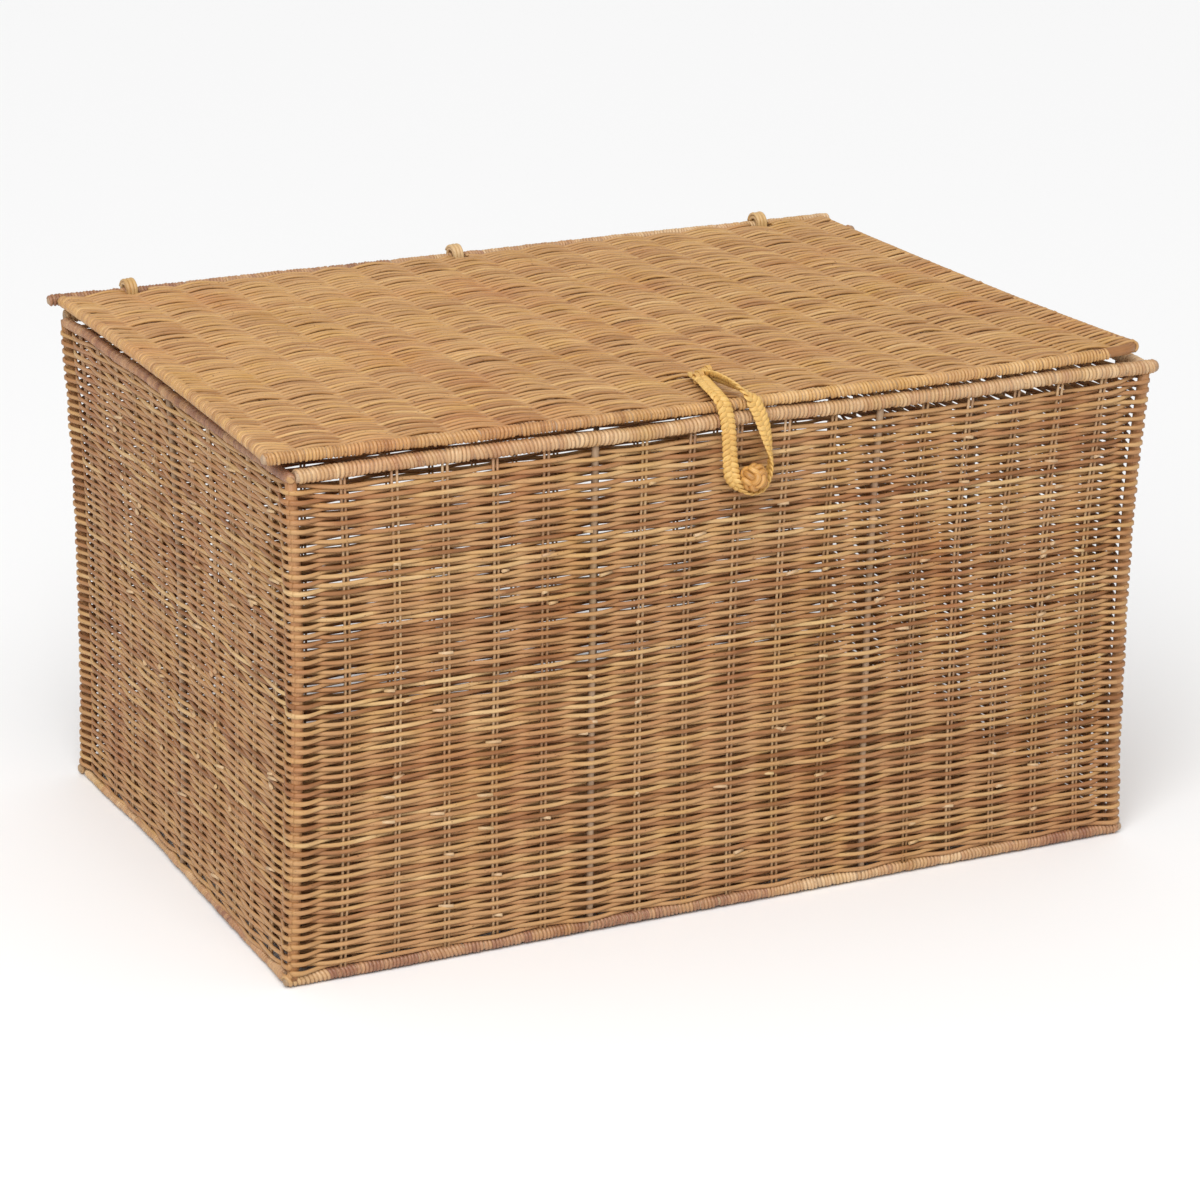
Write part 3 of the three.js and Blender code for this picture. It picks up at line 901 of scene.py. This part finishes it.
def add_lid_stakes(canes):
    """Pairs of thin rods from front to back. The middle pair stops at the hinge slot."""
    for number in range(1, LID_STAKES):
        x = LID_LEFT[0] + number * LID_PITCH
        last_y = LID_BACK[1] if abs(x - hinge_places[1]) > 5 else SLOT_START
        y = np.linspace(LID_FRONT[1], last_y, 10)
        for side in (-1, 1):
            bend = draw.normal(0, 0.3, 10)
            path = np.column_stack([x + side * 1.5 + bend, y, LID_MIDDLE + lid_swell(x, y)])
            canes.add(path, circle(1.15, 6), (0, 0, 1), draw.uniform(0.2, 0.8))


def add_lid_edge(canes, side):
    """A side rod inside the rows' ends. The right one turns the front corner bare, into the front binding."""
    y = np.linspace(LID_FRONT[1] + (2 if side < 0 else 14), LID_BACK[1] - 2, 24)
    path = np.column_stack([lid_side(side, y), y, np.full(24, LID_LEFT[2])])
    size = np.full(24, EDGE_CORE)
    if side > 0:
        angle = np.radians(np.linspace(270, 350, 9))
        turn_x = path[0, 0] - 13
        elbow = np.column_stack([
            turn_x + ELBOW_RADIUS * np.cos(angle),
            LID_FRONT[1] + ELBOW_RADIUS + ELBOW_RADIUS * np.sin(angle),
            np.full(9, LID_LEFT[2]),
        ])
        inner = np.linspace(box("lid_rod_front")[1][0] - 45, turn_x - 4, 5)
        start = np.column_stack([inner, np.full(5, LID_FRONT[1]), np.full(5, LID_LEFT[2])])
        path = np.vstack([start, elbow, path[1:]])
        size = np.concatenate([np.full(5, 3.9), np.linspace(3.9, 4.3, 9), np.linspace(4.0, EDGE_CORE, 23)])
    path[:, 2] += lid_swell(path[:, 0], path[:, 1])
    canes.add(path, circle(1.0, 12), (0, 0, 1), 0.12, size)


for half, rows in (("front", range(LID_ROWS // 2)), ("back", range(LID_ROWS // 2, LID_ROWS))):
    lid_weave = Canes(lid_cane)
    add_lid_rows(lid_weave, rows)
    lid_weave.make("lid_weave_" + half, "lid", "woven_lid", "lid_weave")
lid_stakes = Canes(stake_wood)
add_lid_stakes(lid_stakes)
lid_stakes.make("lid_stakes", "lid", "frame_rod")
for place, side in (("left", -1), ("right", 1)):
    edge = Canes(wall_cane)
    add_lid_edge(edge, side)
    edge.make(f"lid_rod_{place}_wood", "lid", "frame_rod", "lid_rod_" + place)


def flat_stick(node, body):
    """A rounded split stick in place of a CAD bar."""
    low, high = box(node)
    axis = int(np.argmax(high - low))
    centre = (low + high) / 2
    ends = np.linspace(low[axis], high[axis], 30)
    path = np.tile(centre, (30, 1))
    path[:, axis] = ends
    path[:, 1 - axis] += np.interp(ends, np.linspace(ends[0], ends[-1], 6), draw.normal(0, 0.5, 6))
    sizes = high - low
    stick = Canes(frame_wood)
    stick.add(path, ellipse(sizes[1 - axis], sizes[2], 10), (0, 0, 1), 0.6)
    stick.make(node + "_stick", body, "frame_rod", node)


for bar in ("lid_bar_left", "lid_bar_right"):
    flat_stick(bar, "lid")
for bar in ("base_bar_long", "base_bar_left", "base_bar_right"):
    flat_stick(bar, "trunk")

# ---- Floor ----

FLOOR_ROWS = 136
FLOOR_STAKES = 17


def make_floor():
    """The woven bottom: rows from left to right, over and under flat stakes."""
    low, high = box("base_weave")
    height = (low[2] + high[2]) / 2
    weave = Canes(wall_cane)
    places = np.linspace(0, FLOOR_STAKES, FLOOR_STAKES * 5 + 1)
    x = np.interp(places, [0, FLOOR_STAKES], [low[0], high[0]])
    for index, y in enumerate(np.linspace(low[1] + 1.5, high[1] - 1.5, FLOOR_ROWS)):
        rise = height + (-1) ** index * 1.7 * np.cos(math.pi * places)
        path = np.column_stack([x, y + wander(places, 0, 0.25), rise])
        weave.add(path, circle(1.45, 5), (0, 0, 1), draw.beta(2, 2))
    stake_y = np.linspace(low[1], high[1], 8)
    for number in range(FLOOR_STAKES):
        stake_x = np.interp(number, [0, FLOOR_STAKES], [low[0], high[0]])
        path = np.column_stack([np.full(8, stake_x), stake_y, np.full(8, height)])
        weave.add(path, ellipse(5, 2, 8), (0, 0, 1), 0.4)
    weave.make("floor_weave", "trunk", "woven_cane", "base_weave")


make_floor()

# ---- Hinge loops ----

HINGE_TURNS = 3
HINGE_CANE = 1.6  # from the loop's outside to the middle of its outer cane


def make_hinge_loop(place):
    """Cane wound round the back rim rod and the back lid rod: a close inner layer, and one over it."""
    low, high = box("hinge_loop_" + place)
    centre = (low + high) / 2
    outer_radius = (high[1] - low[1]) / 2 - HINGE_CANE
    straight = (high[2] - low[2]) / 2 - HINGE_CANE - outer_radius
    loop = Canes(hinge_cane)
    for loop_radius, half_width in ((outer_radius - 2.6, 4.2), (outer_radius, 4.3)):
        turns = np.linspace(0, 2 * math.pi * HINGE_TURNS, HINGE_TURNS * 26 + 1)
        angle = turns + draw.uniform(0, 1)
        side = centre[0] + np.linspace(-half_width, half_width, len(angle))
        raised = np.clip(np.sin(angle) * 6, -1, 1) * straight
        reach = loop_radius + 0.25 * np.sin(angle * 0.37 + draw.uniform(0, 6))
        path = np.column_stack([
            side, centre[1] + reach * np.cos(angle), centre[2] + raised + reach * np.sin(angle)
        ])
        out = np.column_stack([0 * angle, np.cos(angle), np.sin(angle)])
        loop.add(path, ellipse(3.4, 2.8, 8), out, draw.uniform(0.3, 0.8))
    loop.make(f"hinge_loop_{place}_cane", "trunk", "hinge_cane", f"hinge_loop_{place}")


for place in HINGES:
    make_hinge_loop(place)

# ---- Closure: plaited strap, lashing, ball and cord ----

BALL_CORE = 6.5
STOPPER_RADIUS = 3.1
STRAP_STEPS = 22
STRAP = [
    # x, y, z of the strap's middle line, and the direction of its width: left leg down, right leg up
    (-9, -178, 399.8, 1, 0, 0),
    (-11.5, -190, 400.8, 0.99, 0.1, 0),
    (-14.5, -203, 401.4, 0.97, 0.2, 0),
    (-18, -218, 401.2, 0.98, 0.15, 0),
    (-20.4, -231, 400.8, 1, 0.05, 0),
    (-19.6, -240.4, 396.4, 1, 0, 0),
    (-16.9, -242.4, 388, 1, 0, 0),
    (-14.6, -242.4, 376.6, 1, 0, 0),
    (-13.4, -242.2, 364, 1, 0, 0),
    (-12.4, -242.2, 351, 0.99, -0.12, 0),
    (-10.6, -242.6, 339.4, 0.85, -0.5, 0),
    (-5.4, -242.9, 330.6, 0.45, -0.89, 0),
    (3.4, -243, 326.6, 0, -1, 0),
    (12.6, -242.9, 328.4, 0, -1, 0),
    (18.6, -242.6, 337, -0.1, -1, 0),
    (20.4, -242.3, 348, -0.3, -0.95, 0),
    (18.9, -242, 358, -0.7, -0.7, 0),
    (16.4, -242, 368, -0.9, -0.4, 0),
    (13, -242.3, 378, -0.97, -0.2, 0.05),
    (8.4, -242.2, 388.5, -0.97, -0.1, 0.2),
    (3.2, -240.6, 397, -0.9, 0, 0.43),
    (-1.2, -232, 402.4, -0.75, 0.1, 0.65),
    (-3, -218, 403.4, -0.6, 0.1, 0.8),
    (-3.2, -204, 402.8, -0.55, 0.05, 0.83),
    (-3.4, -191, 401.2, -0.7, 0, 0.7),
    (-4, -179, 399.8, -0.85, 0, 0.5),
]


def add_plait(canes, path, width, half_width, half_height, period, section):
    """Three strands plaited flat along a path, each over one and under the next from edge to edge."""
    along = unit(np.gradient(path, axis=0))
    width = unit(width - (width * along).sum(1, keepdims=True) * along)
    face = np.cross(along, width)
    steps = np.linalg.norm(np.diff(path, axis=0), axis=1)
    length = np.concatenate([[0], np.cumsum(steps)])
    slack = np.clip(np.minimum(length, length[-1] - length) / 26, 0.12, 1)
    turns = np.concatenate([[0], np.cumsum(np.diff(length) * slack[1:])]) / period
    for strand in range(3):
        angle = 2 * math.pi * (turns + strand / 3)
        swing = 0.95 * half_width * (np.sin(angle) - np.sin(3 * angle) / 9)
        line = path + swing[:, None] * width
        line = line + (half_height * np.sin(2 * angle))[:, None] * face
        canes.add(line, section, face, draw.uniform(0.3, 0.8))


def make_strap():
    """The strap and its loop, one piece whose path turns down where the loop leaves the lid."""
    frames = smooth_path(STRAP, STRAP_STEPS)
    strap = Canes(plait_fibre)
    add_plait(strap, frames[:, :3], frames[:, 3:], 3.9, 0.8, 12.5, ellipse(4.3, 2.0, 10))
    piece = strap.make("closure_strap", None, "braid", "strap_leg_left", "strap_leg_right", "closure_loop")
    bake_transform(piece)


def make_lashing(number):
    """A small coil that lashes the strap's ends to the lid."""
    low, high = box(f"lashing_coil_{number}")
    centre = (low + high) / 2 + (-2.5, 5.0 * (number - 2.5), -0.6)
    angle = np.linspace(0, 2 * math.pi * 3, 61)
    path = np.column_stack([
        centre[0] + np.linspace(-1.5, 1.5, 61),
        centre[1] + ((high - low)[1] / 2 - 0.8) * np.cos(angle),
        centre[2] + ((high - low)[2] / 2 + 0.9) * np.sin(angle),
    ])
    out = np.column_stack([0 * angle, np.cos(angle), np.sin(angle)])
    coil = Canes(plait_fibre)
    coil.add(path, circle(1.0, 7), out, 0.2)
    coil.make(f"lashing_coil_{number}_wound", "lid", "braid", f"lashing_coil_{number}")


def add_knot_bands(canes, centre, radius):
    """A round knot: three sets of three bands, each set over one neighbour and under the other."""
    spin = np.array(Quaternion((0.3, 0.8, 0.52), math.radians(38)).to_matrix())
    band = radius * 0.205
    angle = np.linspace(0, 2 * math.pi, 49)
    for number in range(3):
        axes = np.roll(np.eye(3), number, axis=0)
        for offset in (-2.05 * band, 0.0, 2.05 * band):
            reach = radius - 2.05 * band + band * np.cos(2 * angle)
            flat = np.sqrt(np.clip(reach**2 - offset**2, 1, None))
            path = (
                flat[:, None] * (np.cos(angle)[:, None] * axes[0] + np.sin(angle)[:, None] * axes[1])
                + offset * axes[2]
            )
            path[-1] = path[0]
            out = unit(path)
            path, out = path @ spin.T + centre, out @ spin.T
            canes.add(path, ellipse(band * 2.1, band * 1.9, 8), out, draw.uniform(0.2, 0.8))


def make_ball():
    """The knotted ball, with a dark core that closes the gaps between its bands."""
    ball = Canes(knot_fibre)
    add_knot_bands(ball, BALL, BALL_RADIUS)
    angle = np.linspace(0, math.pi, 13)
    path = np.column_stack([
        np.full(13, BALL[0]), BALL[1] - BALL_CORE * np.cos(angle), np.full(13, BALL[2])
    ])
    ball.add(path, circle(1.0, 12), (0, 0, 1), 0.0, BALL_CORE * np.sin(angle) + 0.05)
    ball.make("toggle_ball_knot", "trunk", "knot", "toggle_ball")


def make_toggle_cord():
    """The ball's cord through the wall, with its stopper knot inside."""
    low, high = box("toggle_cord")
    cord = Canes(knot_fibre)
    y = np.linspace(low[1] + 0.5, high[1] - 1.0, 12)
    path = np.column_stack([np.full(12, BALL[0]), y, np.full(12, BALL[2])])
    add_plait(cord, path, np.tile([1.0, 0.0, 0.0], (12, 1)), 0.7, 0.35, 9.0, circle(0.85, 7))
    angle = np.linspace(0, 2 * math.pi * 2, 49)
    out = np.column_stack([np.cos(angle), 0 * angle, np.sin(angle)])
    for side in (-1, 1):
        path = np.column_stack([
            BALL[0] + STOPPER_RADIUS * np.cos(angle),
            high[1] - 2.5 + 1.5 * side * np.sin(angle * 1.5),
            BALL[2] + STOPPER_RADIUS * np.sin(angle),
        ])
        cord.add(path, circle(1.2, 7), out, 0.5)
    cord.make("toggle_cord_knotted", "trunk", "knot", "toggle_cord")


make_strap()
for coil_number in range(1, 5):
    make_lashing(coil_number)
make_ball()
make_toggle_cord()

# ---- Studio, light and camera ----

TARGET = Vector((0, 0, 0.2))  # the lamp points here


def aim(thing, direction):
    """Turns a light or a camera to look along a direction."""
    thing.rotation_mode = "QUATERNION"
    thing.rotation_quaternion = direction.to_track_quat("-Z", "Y")


def make_studio():
    """Pale paper under the trunk, and white light from all round."""
    bpy.ops.mesh.primitive_plane_add(size=30, location=(0, 6, -0.0006))
    ground = bpy.context.object
    ground.name = "studio_floor"
    paper = Nodes("studio_paper")
    paper.set(paper.shader.inputs["Base Color"], colour(243, 243, 243))
    paper.set(paper.shader.inputs["Roughness"], 0.8)
    ground.data.materials.append(paper.material)
    world = bpy.data.worlds.new("studio")
    bpy.context.scene.world = world
    world.use_nodes = True
    background = world.node_tree.nodes["Background"]
    background.inputs["Color"].default_value = (1, 1, 1, 1)
    background.inputs["Strength"].default_value = 0.62


def add_light(name, kind, energy, place, direction):
    """A lamp of one kind and energy at a place, turned to a direction."""
    light = bpy.data.lights.new(name, kind)
    light.energy = energy
    lamp = bpy.data.objects.new(name, light)
    lamp.location = place
    aim(lamp, direction)
    bpy.context.scene.collection.objects.link(lamp)
    return lamp


def make_lights():
    """A small lamp for the highlights, and broad soft light from the upper front left."""
    place = Vector((-1.05, -1.3, 1.3))
    key = add_light("key", "AREA", 10, place, TARGET - place)
    key.data.shape = "DISK"
    key.data.size = 0.9
    key.visible_camera = False
    broad = add_light("broad", "SUN", 1.7, (0, 0, 0), Vector((0.27, 0.52, -0.8)))
    broad.data.angle = math.radians(50)


def make_camera():
    """Looks from the front left and a little above, through a long lens."""
    azimuth, elevation, roll = (math.radians(angle) for angle in (-26.44, 18.72, 0.63))
    back = Vector((
        math.sin(azimuth) * math.cos(elevation),
        -math.cos(azimuth) * math.cos(elevation),
        math.sin(elevation),
    ))
    camera = bpy.data.objects.new("camera", bpy.data.cameras.new("camera"))
    camera.data.lens = 118.83
    camera.data.shift_x = 0.00525
    camera.data.shift_y = -0.00525
    camera.data.clip_end = 60
    camera.location = Vector((0, 0, 0.175)) + 3.1 * back
    aim(camera, -back)
    camera.rotation_quaternion = camera.rotation_quaternion @ Quaternion((0, 0, 1), roll)
    bpy.context.scene.collection.objects.link(camera)
    bpy.context.scene.camera = camera


make_studio()
make_lights()
make_camera()
bpy.context.scene.view_settings.view_transform = "Standard"
